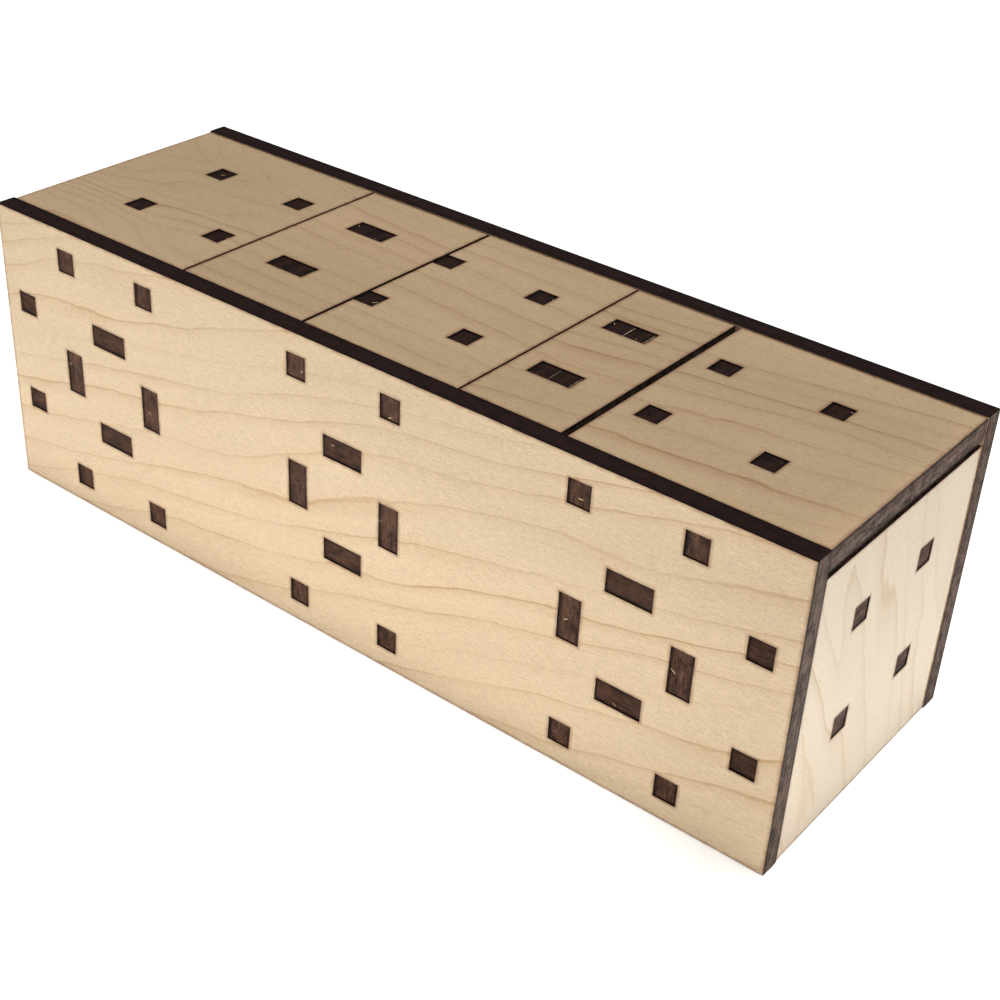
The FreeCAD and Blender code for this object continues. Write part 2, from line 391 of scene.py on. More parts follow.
@dataclass(frozen=True)
class LaserChar:
    """The burnt edge that a laser leaves on plywood.

    Matt red-black char, nearly black at the two faces: soot there, and painted
    shade of the thin gaps at the joints and round the tenons. A cut along the
    grain is smooth and dark. A cut across it is lighter and greyer, with pale
    flecks: partly its open fibres, and partly a painted sheen of lit end faces.
    The three plies show as bands between two thin dark glue lines.
    """

    name: str
    long_dark: str = "160a08"       # where the cut runs along the grain
    long_light: str = "2c1812"
    # end-grain char, lighter and greyer, with the flecks below: partly open fibres, partly painted
    # sheen of lit end faces
    end_dark: str = "221612"        # where it runs across the grain
    end_light: str = "6f5a4e"
    fleck: str = "a8988c"
    fleck_depth: float = 0.4
    fleck_range: tuple[float, float] = (0.6, 0.72)
    streak_share: float = 0.45
    strand_share: float = 0.8
    contrast: float = 0.24          # half of the range from dark to light char
    half_mm: float = 1.9            # half of the sheet's thickness
    rough: float = 0.7
    surface: Surface = Surface(gloss=0.08, relief=0.5, depth=0.06 * MM)
    # grey levels from mid thickness to the face: ply bands, soot and painted shade of thin gaps
    ply_soot_and_gap_shade: tuple[tuple[float, float], ...] = (     # from mid thickness to the face
        (0.0, 1.0), (0.27, 0.92), (0.33, 0.5), (0.39, 0.85), (0.62, 0.8), (0.82, 0.38), (1.0, 0.22),
    )
    streak: Pattern = Pattern(0.4, 0.4, 4.0, detail=2.0)
    mottle: Pattern = Pattern(2.2, 2.2, 1.3, detail=3.0)
    strand: Pattern = Pattern(2.4, 2.4, 0.15, detail=3.0)
    speck: Pattern = Pattern(0.5, 0.5, 0.18)

    def build(self) -> bpy.types.Material:
        """Make the material, on the millimetres that each sheet carries."""
        material, tree = new_material(self.name)
        streak, strand = self.streak.lay(tree), self.strand.lay(tree)
        burn = maths(tree, "MULTIPLY_ADD", streak, self.streak_share, self.mottle.lay(tree))
        burn = maths(tree, "MULTIPLY_ADD", strand, self.strand_share, burn)
        middle = (1 + self.streak_share + self.strand_share) / 2
        burn = rescale(tree, burn, (middle - self.contrast, middle + self.contrast))
        along = blend(tree, burn, self.long_dark, self.long_light)
        across = blend(tree, burn, self.end_dark, self.end_light)
        speck = rescale(tree, self.speck.lay(tree), self.fleck_range, (0.0, self.fleck_depth))
        across = blend(tree, speck, across, self.fleck)
        colour = blend(tree, carried(tree, "end_grain"), along, across)
        colour = blend(tree, 1.0, colour, self.plies(tree), "MULTIPLY")
        self.surface.close(tree, colour, self.rough, maths(tree, "ADD", streak, strand))
        return material

    def plies(self, tree: Tree) -> Socket:
        """Add the ply bands, and the darkening towards both faces: soot, and painted gap shade.

        Args:
            tree: the material's tree.

        Returns:
            A grey that darkens the char.
        """
        place = carried(tree, "sheet_mm", "Vector")
        height = add(tree, "ShaderNodeSeparateXYZ", {0: place}).outputs[2]
        share = maths(tree, "DIVIDE", maths(tree, "ABSOLUTE", height), self.half_mm)
        return ramp(tree, share, self.ply_soot_and_gap_shade)


@dataclass(frozen=True)
class LooseFibre:
    """A small matt thing of one stuff: a soot ridge, a pale splinter or dried glue."""

    name: str
    low: str
    high: str
    grain_mm: float = 0.4
    rough: float = 0.6
    spread: tuple[float, float] = (0.35, 0.65)      # where the two colours lie on the noise
    surface: Surface = Surface(gloss=0.1, relief=0.4, depth=0.03 * MM, ior=1.5)

    def build(self) -> bpy.types.Material:
        """Make the material, mottled on object coordinates."""
        material, tree = new_material(self.name)
        place = add(tree, "ShaderNodeTexCoord").outputs["Object"]
        inputs = {"Vector": place, "Scale": 1 / (self.grain_mm * MM), "Detail": 2.0}
        mottle = add(tree, "ShaderNodeTexNoise", inputs).outputs["Fac"]
        colour = ramp(tree, mottle, tuple(zip(self.spread, (self.low, self.high))))
        self.surface.close(tree, colour, self.rough, mottle)
        return material


# ---- A sheet of plywood -----------------------------------------------------

PLIES = 3
GLUE_LINE = 0.07 * MM       # half the height of the groove along a glue line
ROOM = 0.05 * MM            # a new line stays this far from the middle of a stretch
DIGITS = 7                  # to which the CAD corners are rounded, in metres
TOUCH = 1e-6                # a corner this close to a face is on it


class Lie(Enum):
    """How a sheet lies in the box: its grain, cross-grain and thickness axes."""

    SIDE = (0, 2, 1)
    LEVEL = (0, 1, 2)
    UPRIGHT = (2, 1, 0)
    CROSS = (1, 2, 0)


@dataclass
class Outline:
    """A sheet's outline as a grid of cells between its cut lines."""

    along: np.ndarray        # cut lines along the grain
    across: np.ndarray       # cut lines across the grain
    solid: np.ndarray        # which cells are wood

    def refined(self, rims: tuple[float, ...], step: float) -> "Outline":
        """Split the cells near every cut line, and every long stretch.

        Args:
            rims: distances from a cut line at which a new line is drawn.
            step: longest stretch that is left whole.

        Returns:
            The same outline on finer cells.
        """
        along, from_along = split_lines(self.along, rims, step)
        across, from_across = split_lines(self.across, rims, step)
        return Outline(along, across, self.solid[np.ix_(from_along, from_across)])

    def cut_steps(self) -> list[tuple[tuple[int, int], tuple[int, int]]]:
        """Return the grid steps that lie between wood and air, as pairs of grid points."""
        padded = np.pad(self.solid, 1)
        over = zip(*np.nonzero(padded[1:, 1:-1] != padded[:-1, 1:-1]))
        along = zip(*np.nonzero(padded[1:-1, 1:] != padded[1:-1, :-1]))
        return [((i, j), (i, j + 1)) for i, j in over] + [((i, j), (i + 1, j)) for i, j in along]

    def cut_segments(self) -> np.ndarray:
        """Return the straight cuts between wood and air, as rows of two end points."""
        return np.array([
            (self.along[i], self.across[j], self.along[k], self.across[m])
            for (i, j), (k, m) in self.cut_steps()
        ])


def split_lines(
    lines: np.ndarray, rims: tuple[float, ...], step: float
) -> tuple[np.ndarray, np.ndarray]:
    """Add lines between cut lines.

    Args:
        lines: sorted places of the cut lines.
        rims: distances from a cut line at which a new line is drawn.
        step: longest stretch that is left whole.

    Returns:
        All the lines, and for each stretch between them the old stretch it is in.
    """
    places = [lines[0]]
    sources: list[int] = []
    for index, (low, high) in enumerate(zip(lines[:-1], lines[1:])):
        near = [rim for rim in rims if rim < (high - low) / 2 - ROOM]
        first = low + (near[-1] if near else 0.0)
        last = high - (near[-1] if near else 0.0)
        count = max(1, math.ceil((last - first) / step))
        stops = {low + rim for rim in near} | {high - rim for rim in near}
        stops |= set(np.linspace(first, last, count + 1)[1:-1]) | {high}
        places += sorted(stops)
        sources += [index] * len(stops)
    return np.array(places), np.array(sources)


def inside_any(points: np.ndarray, triangles: np.ndarray) -> np.ndarray:
    """Say which flat points lie inside any of the triangles.

    Args:
        points: rows of two coordinates.
        triangles: rows of three corners.

    Returns:
        One truth value a point.
    """
    found = np.zeros(len(points), bool)
    for corners in triangles:
        sides = []
        for start, end in zip(corners, np.roll(corners, -1, 0)):
            run, to = end - start, points - start
            sides.append(run[0] * to[:, 1] - run[1] * to[:, 0])
        sides = np.array(sides)
        found |= (sides >= 0).all(0) | (sides <= 0).all(0)
    return found


def distance_to_cuts(points: np.ndarray, segments: np.ndarray) -> np.ndarray:
    """Measure how far each flat point is from the nearest cut.

    Args:
        points: rows of two coordinates.
        segments: rows of two end points.

    Returns:
        One distance a point, in metres.
    """
    start, end = segments[:, :2], segments[:, 2:]
    low, high = np.minimum(start, end), np.maximum(start, end)
    nearest = np.full(len(points), np.inf)
    for a, b in zip(low, high):
        gap = points - np.clip(points, a, b)
        nearest = np.minimum(nearest, np.hypot(gap[:, 0], gap[:, 1]))
    return nearest


@dataclass(frozen=True)
class Figure:
    """The veneer's figure: where on the log it was peeled, and how its lines run."""

    along_mm: float = 0.0
    across_mm: float = 0.0
    slope: float = 0.03         # rise of the growth lines along the grain
    restless: float = 0.5       # how much they wander


@dataclass
class PlySheet:
    """One laser-cut sheet, redrawn from its CAD node with eased edges and plies."""

    node: str
    lie: Lie
    figure: Figure = Figure()
    arris: float = 0.05 * MM            # easing of each face's edge
    kerf: float = 0.02 * MM             # room for the soot ridges on a cut edge
    glue: float = 0.03 * MM             # how far the glue lines burn back
    rims: tuple[float, ...] = (0.45 * MM, 1.2 * MM)   # where the smoke stain is measured
    step: float = 7.0 * MM              # longest stretch without a vertex
    outline: Outline = field(init=False)
    thickness: tuple[float, float] = field(init=False)

    def read(self, node: bpy.types.Object) -> None:
        """Read the outline and the thickness from the CAD node.

        Args:
            node: the CAD node's object.
        """
        grain, cross, through = self.lie.value
        mesh = node.data
        mesh.calc_loop_triangles()
        places = np.array([v.co for v in mesh.vertices], float)
        low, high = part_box(self.node)
        self.thickness = (low[through], high[through])
        flat = np.round(places[:, [grain, cross]], DIGITS)
        corners = np.array([t.vertices for t in mesh.loop_triangles])
        on_top = (np.abs(places[corners][:, :, through] - high[through]) < TOUCH).all(1)
        along, across = np.unique(flat[:, 0]), np.unique(flat[:, 1])
        mid_along, mid_across = (along[1:] + along[:-1]) / 2, (across[1:] + across[:-1]) / 2
        centres = np.array(np.meshgrid(mid_along, mid_across, indexing="ij")).reshape(2, -1).T
        solid = inside_any(centres, flat[corners[on_top]])
        self.outline = Outline(along, across, solid.reshape(len(mid_along), len(mid_across)))

    def levels(self) -> list[tuple[float, float]]:
        """Return heights through the sheet and how far the edge stands back at each."""
        low, high = self.thickness
        core = (high - low) / (2 * PLIES)
        middle = (low + high) / 2
        rows = [(low, self.kerf + self.arris), (low + self.arris, self.kerf)]
        for place in (middle - core, middle + core):
            rows += [(place - GLUE_LINE, self.kerf), (place, self.kerf + self.glue),
                     (place + GLUE_LINE, self.kerf)]
        return rows + [(high - self.arris, self.kerf), (high, self.kerf + self.arris)]

    def build(self, name: str) -> bpy.types.Object:
        """Make the sheet's closed mesh, faces in slot 0 and cut edges in slot 1.

        Args:
            name: the new piece's name.

        Returns:
            The new object.
        """
        fine = self.outline.refined(self.rims, self.step)
        padded = np.pad(fine.solid, 1)
        around = [padded[:-1, :-1], padded[1:, :-1], padded[:-1, 1:], padded[1:, 1:]]
        count = sum(cell.astype(int) for cell in around)
        edge = (count > 0) & (count < 4)
        right = around[1].astype(int) + around[3] - around[0] - around[2]
        up = around[2].astype(int) + around[3] - around[0] - around[1]
        inward = np.stack([np.sign(right), np.sign(up)], -1)
        flat = np.stack(np.meshgrid(fine.along, fine.across, indexing="ij"), -1)

        rows = self.levels()
        places: list[np.ndarray] = []
        indices: list[np.ndarray] = []
        total = 0
        for number, (height, inset) in enumerate(rows):
            used = (count > 0) if number in (0, len(rows) - 1) else edge
            index = np.full(count.shape, -1)
            index[used] = total + np.arange(used.sum())
            total += int(used.sum())
            moved = (flat + inward * inset * edge[..., None])[used]
            places.append(np.column_stack([moved, np.full(len(moved), height)]))
            indices.append(index)
        faces, walls = self.quads(fine, indices)
        return self.make_mesh(name, np.concatenate(places), faces, walls)

    def quads(
        self, fine: Outline, indices: list[np.ndarray]
    ) -> tuple[list[tuple[int, ...]], list[tuple[int, ...]]]:
        """List the corners of the face cells and of the wall strips.

        Args:
            fine: the outline on fine cells.
            indices: at each level, each grid point's vertex.

        Returns:
            The faces' quads and the walls' quads.
        """
        faces: list[tuple[int, ...]] = []
        for i, j in zip(*np.nonzero(fine.solid)):
            ring = [(i, j), (i + 1, j), (i + 1, j + 1), (i, j + 1)]
            faces.append(tuple(int(indices[0][p]) for p in ring))
            faces.append(tuple(int(indices[-1][p]) for p in reversed(ring)))
        walls = [
            (int(low[a]), int(low[b]), int(high[b]), int(high[a]))
            for a, b in fine.cut_steps()
            for low, high in zip(indices[:-1], indices[1:])
        ]
        return faces, walls

    def make_mesh(
        self,
        name: str,
        places: np.ndarray,
        faces: list[tuple[int, ...]],
        walls: list[tuple[int, ...]],
    ) -> bpy.types.Object:
        """Turn the sheet's own coordinates into an object in the box's frame.

        Args:
            name: the new piece's name.
            places: rows of along, across and through, in metres.
            faces: quads of the two faces.
            walls: quads of the cut edges.

        Returns:
            The new object, with its attributes for the finishes.
        """
        world = np.zeros_like(places)
        world[:, list(self.lie.value)] = places
        quads = np.array(faces + walls)
        mesh = bpy.data.meshes.new(name)
        mesh.from_pydata(world.tolist(), [], quads.tolist())
        mesh.polygons.foreach_set("material_index", [0] * len(faces) + [1] * len(walls))

        sheet = (places - np.array([0.0, 0.0, sum(self.thickness) / 2])) / MM
        on_log = sheet + np.array([self.figure.along_mm, self.figure.across_mm, 0.0])
        figure = on_log.copy()
        figure[:, 1] -= sheet[:, 0] * self.figure.slope
        cut = distance_to_cuts(places[:, :2], self.outline.cut_segments()) / MM
        spread = np.ptp(places[quads], axis=1)
        for title, kind, domain, key, values in (
            ("sheet_mm", "FLOAT_VECTOR", "POINT", "vector", on_log),
            ("figure_mm", "FLOAT_VECTOR", "POINT", "vector", figure),
            ("restless", "FLOAT", "POINT", "value", np.full(len(places), self.figure.restless)),
            ("cut_mm", "FLOAT", "POINT", "value", cut),
            ("end_grain", "FLOAT", "FACE", "value", spread[:, 0] < spread[:, 1]),
        ):
            layer = mesh.attributes.new(title, kind, domain)
            layer.data.foreach_set(key, values.astype(np.float32).ravel())
        piece = place_in_scene(name, mesh)
        turn_outwards(piece)
        return piece

    def edge_rails(self, shortest: float) -> list[tuple[Vector, Vector, Vector, Vector]]:
        """List the long cuts along the grain, for the ridges that the beam leaves on them.

        Args:
            shortest: a cut below this length gets no ridges.

        Returns:
            For each cut its two ends at mid thickness, its outward direction and
            the sheet's thickness as a vector.
        """
        solid = np.pad(self.outline.solid, 1)[1:-1]
        cells: dict[tuple[int, int], list[int]] = {}
        for i, j in zip(*np.nonzero(solid[:, 1:] != solid[:, :-1])):
            cells.setdefault((j, 1 if solid[i, j] else -1), []).append(i)
        along, (low, high) = self.outline.along, self.thickness
        rails = []
        for (line, side), run in cells.items():
            start, end = along[run[0]] + self.arris, along[run[-1] + 1] - self.arris
            whole = len(run) == run[-1] - run[0] + 1
            if not whole or end - start < shortest:
                continue
            edge = self.outline.across[line] - side * self.kerf
            middle = (low + high) / 2
            rails.append((
                self.in_box(start, edge, middle),
                self.in_box(end, edge, middle),
                self.in_box(0.0, side, 0.0),
                self.in_box(0.0, 0.0, high - low - 2 * self.arris),
            ))
        return rails

    def in_box(self, along: float, across: float, through: float) -> Vector:
        """Turn the sheet's own coordinates into the box's."""
        point = Vector((0.0, 0.0, 0.0))
        for axis, value in zip(self.lie.value, (along, across, through)):
            point[axis] = value
        return point

    def tenon_ends(self, longest: float) -> list[list[Vector]]:
        """List the small flat ends that reach the sheet's outermost lines.

        Args:
            longest: an end above this length isn't a tenon's.

        Returns:
            Four corners for each end, in the box's frame.
        """
        low, high = self.thickness
        ends = []
        for x0, y0, x1, y1 in self.joined_cuts():
            on_side = x0 == x1 and x0 in (self.outline.along[0], self.outline.along[-1])
            on_edge = y0 == y1 and y0 in (self.outline.across[0], self.outline.across[-1])
            if not (on_side or on_edge) or max(x1 - x0, y1 - y0) > longest:
                continue
            rim = ((x0, y0, low), (x1, y1, low), (x1, y1, high), (x0, y0, high))
            ends.append([self.in_box(*corner) for corner in rim])
        return ends

    def joined_cuts(self) -> list[tuple[float, float, float, float]]:
        """Return the cut segments with those that follow on from each other made one."""
        joined: list[tuple[float, float, float, float]] = []
        for segment in sorted(tuple(row) for row in self.outline.cut_segments()):
            for number, old in enumerate(joined):
                same_x = old[0] == old[2] == segment[0] == segment[2] and old[3] == segment[1]
                same_y = old[1] == old[3] == segment[1] == segment[3] and old[2] == segment[0]
                if same_x or same_y:
                    joined[number] = (old[0], old[1], segment[2], segment[3])
                    break
            else:
                joined.append(segment)
        return joined


def place_in_scene(name: str, data: bpy.types.ID) -> bpy.types.Object:
    """Make an object of a mesh, a light or a camera, and put it in the scene."""
    piece = bpy.data.objects.new(name, data)
    bpy.context.scene.collection.objects.link(piece)
    return piece


def turn_outwards(piece: bpy.types.Object) -> None:
    """Make a closed mesh's faces point outwards."""
    work = bmesh.new()
    work.from_mesh(piece.data)
    bmesh.ops.recalc_face_normals(work, faces=work.faces)
    work.to_mesh(piece.data)
    work.free()


# ---- Details that repeat, by Geometry Nodes ---------------------------------

def open_tree(name: str, inputs: dict[str, str]) -> tuple[Tree, bpy.types.Node]:
    """Start a geometry tree with named inputs.

    Args:
        name: the tree's name.
        inputs: each input's name and socket type.

    Returns:
        The tree and its group input node.
    """
    tree = bpy.data.node_groups.new(name, "GeometryNodeTree")
    tree.interface.new_socket("Geometry", in_out="INPUT", socket_type="NodeSocketGeometry")
    for title, kind in inputs.items():
        tree.interface.new_socket(title, in_out="INPUT", socket_type=kind)
    tree.interface.new_socket("Geometry", in_out="OUTPUT", socket_type="NodeSocketGeometry")
    return tree, add(tree, "NodeGroupInput")


def close_tree(tree: Tree, instances: Socket, finish: bpy.types.Material) -> None:
    """End a geometry tree: make its instances real and give them their finish.

    Args:
        tree: the geometry tree.
        instances: the socket that gives the instances.
        finish: the material that they all get.
    """
    real = add(tree, "GeometryNodeRealizeInstances", {0: instances})
    done = add(tree, "GeometryNodeSetMaterial", {"Geometry": real.outputs[0], "Material": finish})
    add(tree, "NodeGroupOutput", {0: done.outputs[0]})


def grow(
    name: str, source: bpy.types.Mesh, tree: Tree, values: dict[str, object]
) -> bpy.types.Object:
    """Run a geometry tree on a mesh and keep the result as a plain mesh.

    Args:
        name: the new piece's name.
        source: the mesh that the tree starts from.
        tree: the geometry tree.
        values: each named input's value.

    Returns:
        A new object with no modifier.
    """
    carrier = place_in_scene(name + "_carrier", source)
    modifier = carrier.modifiers.new("grow", "NODES")
    modifier.node_group = tree
    for item in tree.interface.items_tree:
        if item.in_out == "INPUT" and item.name in values:
            modifier[item.identifier] = values[item.name]
    depsgraph = bpy.context.evaluated_depsgraph_get()
    mesh = bpy.data.meshes.new_from_object(carrier.evaluated_get(depsgraph))
    bpy.data.objects.remove(carrier)
    mesh.name = name
    return place_in_scene(name, mesh)


@dataclass(frozen=True)
class KerfRidges:
    """Fine soot ridges that the beam leaves across a cut along the grain."""

    soot: LooseFibre = LooseFibre("laser_soot_ridge", low="120907", high="281711", rough=0.7)
    spacing: float = 0.42 * MM
    width: float = 0.16 * MM
    height: float = 0.018 * MM
    lengths: tuple[float, float] = (0.65, 0.25)     # random and least share of the thickness
    heights: tuple[float, float] = (0.6, 0.4)       # the same, of a ridge's width and height
    reach: float = 0.94         # share of the thickness that the ridges keep to
    shortest: float = 10.0 * MM
    seed: int = 11

    def tree(self, finish: bpy.types.Material) -> Tree:
        """Build the tree: ridges on points along each rail, at random lengths and heights.

        Args:
            finish: the soot.

        Returns:
            The geometry tree.
        """
        tree, given = open_tree("kerf_ridges", {
            "Spacing": "NodeSocketFloat", "Width": "NodeSocketFloat",
            "Height": "NodeSocketFloat", "Seed": "NodeSocketInt",
        })
        thick, outward = (
            add(tree, "GeometryNodeInputNamedAttribute", {"Name": name},
                data_type="FLOAT_VECTOR").outputs["Attribute"]
            for name in ("thick", "outward")
        )
        curve = add(tree, "GeometryNodeMeshToCurve", {0: given.outputs["Geometry"]}).outputs[0]
        spaced = add(tree, "GeometryNodeResampleCurve",
                     {"Curve": curve, "Length": given.outputs["Spacing"]}, mode="LENGTH")
        points = add(tree, "GeometryNodeCurveToPoints", {0: spaced.outputs[0]}, mode="EVALUATED")
        chance = add(tree, "FunctionNodeRandomValue", {
            "Min": (-0.5, 0.0, 0.0), "Max": (0.5, 1.0, 1.0), "Seed": given.outputs["Seed"]},
            data_type="FLOAT_VECTOR").outputs[0]
        parts = add(tree, "ShaderNodeSeparateXYZ", {0: chance}).outputs
        length = maths(tree, "MULTIPLY_ADD", parts[1], *self.lengths)
        shift = maths(tree, "MULTIPLY", maths(tree, "SUBTRACT", self.reach, length), parts[0])
        offset = add(tree, "ShaderNodeVectorMath", {0: thick, "Scale": shift},
                     operation="SCALE").outputs[0]
        placed = add(tree, "GeometryNodeSetPosition",
                     {"Geometry": points.outputs[0], "Offset": offset}).outputs[0]
        span = add(tree, "ShaderNodeVectorMath", {0: thick}, operation="LENGTH").outputs["Value"]
        rise = maths(tree, "MULTIPLY_ADD", parts[2], *self.heights)
        size = add(tree, "ShaderNodeCombineXYZ", {
            0: maths(tree, "MULTIPLY", span, length),
            1: maths(tree, "MULTIPLY", rise, given.outputs["Width"]),
            2: maths(tree, "MULTIPLY", rise, given.outputs["Height"]),
        }).outputs[0]
        bead = add(tree, "GeometryNodeMeshCylinder",
                   {"Vertices": 6, "Radius": 1.0, "Depth": 1.0}).outputs[0]
        lying = add(tree, "GeometryNodeTransform",
                    {"Geometry": bead, "Rotation": (0.0, math.pi / 2, 0.0)}).outputs[0]
        turn = add(tree, "FunctionNodeAxesToRotation", {0: outward, 1: thick},
                   primary_axis="Z", secondary_axis="X").outputs[0]
        ridges = add(tree, "GeometryNodeInstanceOnPoints", {
            "Points": placed, "Instance": lying, "Rotation": turn, "Scale": size}).outputs[0]
        close_tree(tree, ridges, finish)
        return tree

    def rails_mesh(self, name: str, sheets: list[PlySheet]) -> bpy.types.Mesh:
        """Make the edges that the ridges follow, with their directions as attributes.

        Args:
            name: the mesh's name.
            sheets: the sheets whose cuts they are.

        Returns:
            A mesh of loose edges.
        """
        rails = [rail for sheet in sheets for rail in sheet.edge_rails(self.shortest)]
        mesh = bpy.data.meshes.new(name)
        places = [end for rail in rails for end in rail[:2]]
        mesh.from_pydata(places, [(2 * i, 2 * i + 1) for i in range(len(rails))], [])
        for title, part in (("outward", 2), ("thick", 3)):
            layer = mesh.attributes.new(title, "FLOAT_VECTOR", "POINT")
            values = [number for rail in rails for _ in (0, 1) for number in rail[part]]
            layer.data.foreach_set("vector", values)
        return mesh

    def build(self, body: str, sheets: list[PlySheet], finish: bpy.types.Material) -> bpy.types.Object:
        """Grow the ridges of one body.

        Args:
            body: the body's name.
            sheets: its sheets that have ridges.
            finish: the soot.

        Returns:
            One plain mesh.
        """
        name = body + "_kerf_ridges"
        values = {"Spacing": self.spacing, "Width": self.width / 2, "Height": self.height,
                  "Seed": self.seed}
        return grow(name, self.rails_mesh(name + "_rails", sheets), self.tree(finish), values)


@dataclass(frozen=True)
class Splinters:
    """Pale flakes of unburnt wood that cling to a few tenon ends."""

    wood: LooseFibre = LooseFibre("birch_splinter", low="b98f5c", high="e9cb98", rough=0.7)
    per_square_metre: float = 16000.0
    length: float = 1.3 * MM
    width: float = 0.2 * MM
    height: float = 0.06 * MM
    smallest: tuple[float, float, float] = (0.25, 0.5, 0.5)     # shares of the full size
    twist: float = 0.9          # radians that one turns either way
    tenon: float = 9.0 * MM     # a longer end isn't a tenon's
    seed: int = 5

    def tree(self, finish: bpy.types.Material) -> Tree:
        """Build the tree: small wedges strewn over the tenon ends.

        Args:
            finish: the pale wood.

        Returns:
            The geometry tree.
        """
        tree, given = open_tree("tenon_splinters", {
            "Density": "NodeSocketFloat", "Size": "NodeSocketVector", "Seed": "NodeSocketInt",
        })
        strewn = add(tree, "GeometryNodeDistributePointsOnFaces", {
            "Mesh": given.outputs["Geometry"], "Density": given.outputs["Density"],
            "Seed": given.outputs["Seed"]}, distribute_method="RANDOM")
        wedge = add(tree, "GeometryNodeMeshIcoSphere", {"Radius": 0.5, "Subdivisions": 1}).outputs[0]
        spin = add(tree, "FunctionNodeRandomValue", {
            "Min": (0.0, 0.0, -self.twist), "Max": (0.0, 0.0, self.twist),
            "Seed": given.outputs["Seed"]},
            data_type="FLOAT_VECTOR").outputs[0]
        twist = add(tree, "FunctionNodeEulerToRotation", {0: spin}).outputs[0]
        turn = add(tree, "FunctionNodeRotateRotation", {0: strewn.outputs["Rotation"], 1: twist},
                   rotation_space="LOCAL").outputs[0]
        grade = add(tree, "FunctionNodeRandomValue", {
            "Min": self.smallest, "Max": (1.0, 1.0, 1.0), "Seed": given.outputs["Seed"]},
            data_type="FLOAT_VECTOR").outputs[0]
        size = add(tree, "ShaderNodeVectorMath", {0: grade, 1: given.outputs["Size"]},
                   operation="MULTIPLY").outputs[0]
        crumbs = add(tree, "GeometryNodeInstanceOnPoints", {
            "Points": strewn.outputs["Points"], "Instance": wedge, "Rotation": turn,
            "Scale": size}).outputs[0]
        close_tree(tree, crumbs, finish)
        return tree

    def build(self, body: str, sheets: list[PlySheet], finish: bpy.types.Material) -> bpy.types.Object:
        """Grow the splinters of one body.

        Args:
            body: the body's name.
            sheets: its sheets with tenons.
            finish: the pale wood.

        Returns:
            One plain mesh.
        """
        name = body + "_splinters"
        ends = [end for sheet in sheets for end in sheet.tenon_ends(self.tenon)]
        mesh = bpy.data.meshes.new(name + "_ends")
        mesh.from_pydata([corner for end in ends for corner in end], [],
                         [tuple(range(4 * i, 4 * i + 4)) for i in range(len(ends))])
        values = {"Density": self.per_square_metre, "Size": (self.length, self.width, self.height),
                  "Seed": self.seed}
        return grow(name, mesh, self.tree(finish), values)


@dataclass(frozen=True)
class GlueLine:
    """Dried glue squeezed up beside a tenon end, a low uneven bead."""

    glue: LooseFibre = LooseFibre("dried_wood_glue", low="b59a6e", high="e6d4ae", grain_mm=0.8,
                                  rough=0.35)
    half_width: float = 0.085 * MM
    uneven: float = 0.4         # share by which its width strays
    tips: float = 0.3           # its half width at both tips, as a share of the middle's
    crown: float = 0.7          # its rise as a share of its half width
    flat: float = 0.6           # width of its crown as a share of its own
    sunk: float = 0.05 * MM
    length_share: float = 0.92  # of the tenon's width
    stations: int = 14
    seed: int = 3

    def build(self, name: str, start: Vector, end: Vector, fullness: float) -> bpy.types.Object:
        """Make one bead.

        Args:
            name: the new piece's name.
            start: the joint's end towards the front, at the level of the tenon ends.
            end: the joint's end towards the back.
            fullness: how thick this bead is, from 0 to 1.

        Returns:
            The new object.
        """
        chance = random.Random(f"{self.seed} {name}")
        work = bmesh.new()
        rings = []
        for step in range(self.stations + 1):
            share = step / self.stations
            place = start.lerp(end, 0.5 + (share - 0.5) * self.length_share)
            swell = self.tips + (1 - self.tips) * math.sin(math.pi * share)
            stray = 1 - self.uneven * chance.random()
            half = fullness * self.half_width * swell * stray
            rise = half * self.crown
            crest = self.flat * half
            section = ((-half, -self.sunk), (half, -self.sunk), (crest, rise), (-crest, rise))
            rings.append([work.verts.new(place + Vector((x, 0.0, z))) for x, z in section])
        for near, far in zip(rings[:-1], rings[1:]):
            for i in range(len(near)):
                work.faces.new((near[i], near[i - 1], far[i - 1], far[i]))
        work.faces.new(rings[0])
        work.faces.new(reversed(rings[-1]))
        mesh = bpy.data.meshes.new(name)
        work.to_mesh(mesh)
        work.free()
        piece = place_in_scene(name, mesh)
        turn_outwards(piece)
        return piece


# ---- Sub-assemblies ---------------------------------------------------------

@dataclass
class Workshop:
    """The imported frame, and the finishes that the sub-assemblies share."""

    nodes: dict[str, bpy.types.Object]
    body_of: dict[str, str]
    slot_of: dict[str, str]
    materials: dict[str, bpy.types.Material] = field(default_factory=dict)

    @classmethod
    def around(cls, frame: dict) -> "Workshop":
        """Args:
            frame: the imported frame.

        Returns:
            The workshop, with no finish made yet.
        """
        record = frame["record"]
        bodies = record["behaviour"]["bodies"]
        return cls(
            nodes=frame["nodes"],
            body_of={node: body for body, nodes in bodies.items() for node in nodes},
            slot_of={row["node"]: row["material_slot"] for row in record["subparts"]},
        )

    def finish(self, kind: BirchVeneer | LaserChar | LooseFibre) -> bpy.types.Material:
        """Return a finish's material, made once."""
        if kind.name not in self.materials:
            self.materials[kind.name] = kind.build()
        return self.materials[kind.name]

    def fasten(self, piece: bpy.types.Object, finish: LooseFibre, body: str) -> None:
        """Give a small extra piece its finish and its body.

        Args:
            piece: the new piece.
            finish: what it is made of.
            body: the body that it rides on.
        """
        if not piece.data.materials:
            piece.data.materials.append(self.finish(finish))
        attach(piece, body)
        LOG.info("details: %s, %d faces", piece.name, len(piece.data.polygons))


class Side(Enum):
    """Which end of the box a lid and its bolt belong to."""

    LEFT = "left"
    RIGHT = "right"
